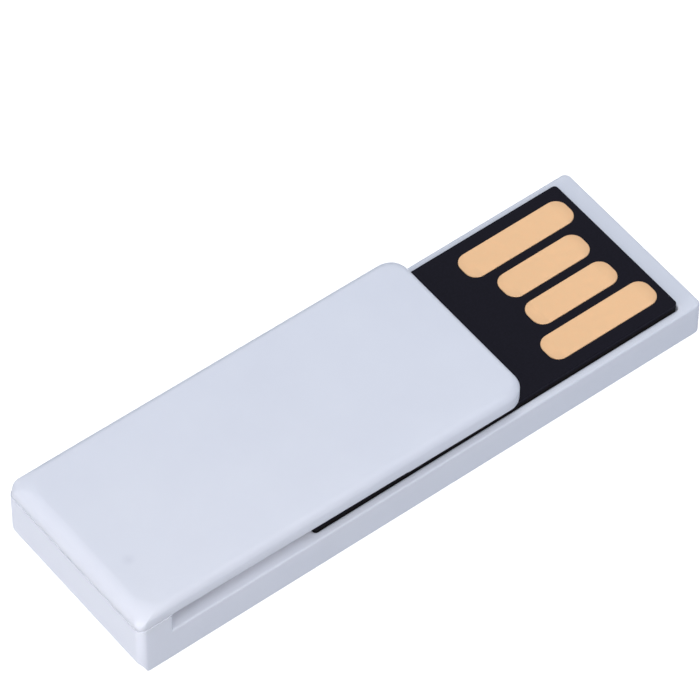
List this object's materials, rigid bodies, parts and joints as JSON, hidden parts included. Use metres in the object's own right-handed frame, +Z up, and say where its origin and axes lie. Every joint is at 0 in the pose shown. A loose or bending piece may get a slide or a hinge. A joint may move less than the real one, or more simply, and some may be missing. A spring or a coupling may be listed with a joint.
{
  "type": "usb flash drive",
  "caption": "Slim white storage stick with gold contacts on a black chip at one end and a springy cover plate that works as a paper or pocket clip.",
  "frame": {"origin": "centre of the bounding box, on the underside", "axes": "+X towards the connector end, +Y across the width, +Z up through the clip; the contacts face +Z"},
  "size_m": [0.039, 0.012, 0.0048],
  "materials": {
    "white_plastic": "satin moulded ABS, cool white",
    "black_board": "matte black solder mask on laminate",
    "black_resin": "matte black epoxy moulding compound",
    "gold_plating": "gold-plated copper contact",
    "silicon": "polished silicon",
    "die_film": "die-attach film",
    "capacitor_ceramic": "ceramic chip capacitor body",
    "resistor_coating": "coated chip resistor body",
    "adhesive_tape": "thin double-sided tape"
  },
  "bodies": {
    "drive": {"base_tray": "white_plastic", "cover_plate": "white_plastic", "chip_tape": "adhesive_tape", "chip_resin": "black_resin", "contact_board": "black_board", "contact_ground": "gold_plating", "contact_data_plus": "gold_plating", "contact_data_minus": "gold_plating", "contact_power": "gold_plating", "lower_flash_film": "die_film", "upper_flash_film": "die_film", "controller_film": "die_film", "lower_flash_die": "silicon", "upper_flash_die": "silicon", "controller_die": "silicon", "capacitor_1": "capacitor_ceramic", "capacitor_2": "capacitor_ceramic", "capacitor_3": "capacitor_ceramic", "capacitor_4": "capacitor_ceramic", "capacitor_5": "capacitor_ceramic", "capacitor_6": "capacitor_ceramic", "resistor_1": "resistor_coating", "resistor_2": "resistor_coating", "resistor_3": "resistor_coating", "resistor_4": "resistor_coating"},
    "clip": {"clip_arm": "white_plastic"}
  },
  "joints": [
    {"name": "clip_flex", "type": "hinge", "parent": "drive", "child": "clip", "pos_m": [-0.017, 0, 0.0043], "axis": [0, -1, 0], "range_deg": [-1, 5], "stiffness_Nm_per_rad": 0.36}
  ]
}
